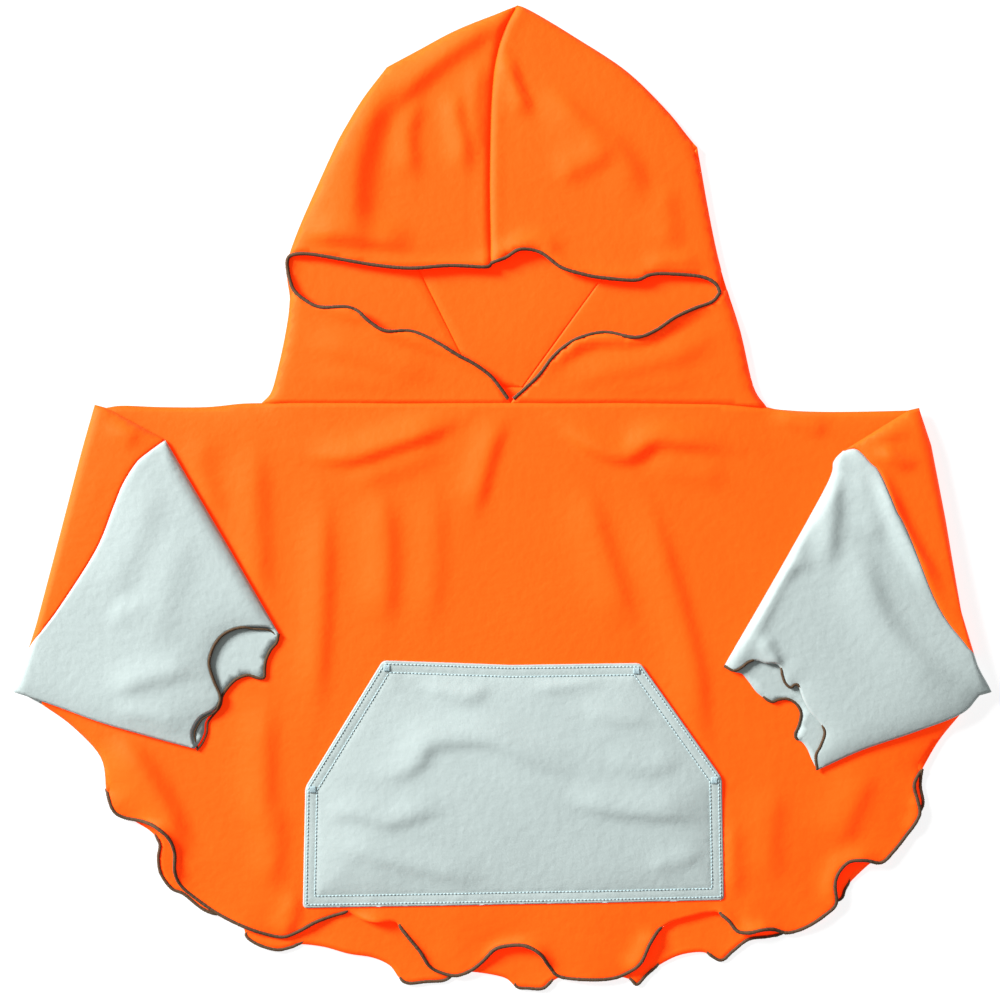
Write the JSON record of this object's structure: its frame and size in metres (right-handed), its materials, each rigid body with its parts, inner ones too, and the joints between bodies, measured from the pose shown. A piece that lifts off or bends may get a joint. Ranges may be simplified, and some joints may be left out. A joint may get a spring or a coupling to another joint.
{
  "type": "hooded pullover with hand warmer pouch",
  "caption": "Cropped hooded knit pullover laid flat, sleeves folded over the front, with a kangaroo hand warmer pouch and rolled lettuce edges.",
  "frame": {"origin": "middle of the bottom of the laid garment's box, on the surface that it lies on", "axes": "+Z out of the front of the garment, +Y towards the hood, +X to the right as it is seen from the front"},
  "size_m": [0.7291, 0.7356, 0.014],
  "materials": {
    "orange_knit": "fluorescent orange stretch jersey, soft matt",
    "mint_knit": "pale mint stretch jersey, soft matt",
    "edge_thread": "brown grey overlock thread, rolled hem",
    "seam_thread": "overlocked seam allowance",
    "pouch_thread": "pale cyan topstitching thread"
  },
  "bodies": {
    "torso": {"back_panel": "orange_knit", "front_panel": "orange_knit", "left_shoulder_seam": "seam_thread", "right_shoulder_seam": "seam_thread", "left_side_seam": "seam_thread", "right_side_seam": "seam_thread", "neck_seam": "seam_thread", "front_hem_edge": "edge_thread", "back_hem_edge": "edge_thread", "pouch_pocket": "mint_knit", "pouch_edge_stitching": "pouch_thread", "pouch_hem_stitching": "pouch_thread", "pouch_bar_tacks": "pouch_thread", "left_sleeve_root": "mint_knit", "right_sleeve_root": "mint_knit", "left_underarm_seam_lower": "seam_thread", "right_underarm_seam_lower": "seam_thread", "left_armhole_seam_lower": "seam_thread", "right_armhole_seam_lower": "seam_thread", "left_body_fold": "orange_knit", "right_body_fold": "orange_knit", "left_sleeve_fold": "mint_knit", "right_sleeve_fold": "mint_knit"},
    "hood": {"hood_left_panel": "orange_knit", "hood_right_panel": "orange_knit", "hood_back_gusset": "orange_knit", "hood_centre_seam": "seam_thread", "hood_left_gusset_seam": "seam_thread", "hood_right_gusset_seam": "seam_thread", "hood_crown_seam": "seam_thread", "hood_face_edge": "edge_thread"},
    "folded_left_sleeve": {"left_wing_front": "orange_knit", "left_wing_back": "orange_knit", "left_wing_seam": "seam_thread", "left_armhole_seam": "seam_thread", "left_sleeve": "mint_knit", "left_underarm_seam": "seam_thread", "left_cuff_edge": "edge_thread"},
    "folded_right_sleeve": {"right_wing_front": "orange_knit", "right_wing_back": "orange_knit", "right_wing_seam": "seam_thread", "right_armhole_seam": "seam_thread", "right_sleeve": "mint_knit", "right_underarm_seam": "seam_thread", "right_cuff_edge": "edge_thread"}
  },
  "joints": [
    {"name": "left_sleeve_hinge", "type": "hinge", "parent": "torso", "child": "folded_left_sleeve", "pos_m": [-0.298, 0.062, 0.007], "axis": [-0.2702, -0.9628, 0], "range_deg": [0, 180], "deforming": ["left_body_fold", "left_sleeve_fold"]},
    {"name": "right_sleeve_hinge", "type": "hinge", "parent": "torso", "child": "folded_right_sleeve", "pos_m": [0.306, 0.06, 0.007], "axis": [-0.2404, 0.9707, 0], "range_deg": [0, 180], "deforming": ["right_body_fold", "right_sleeve_fold"]},
    {"name": "hood_hinge", "type": "hinge", "parent": "torso", "child": "hood", "pos_m": [0, 0.069, 0.007], "axis": [1, 0, 0], "range_deg": [0, 170]}
  ]
}
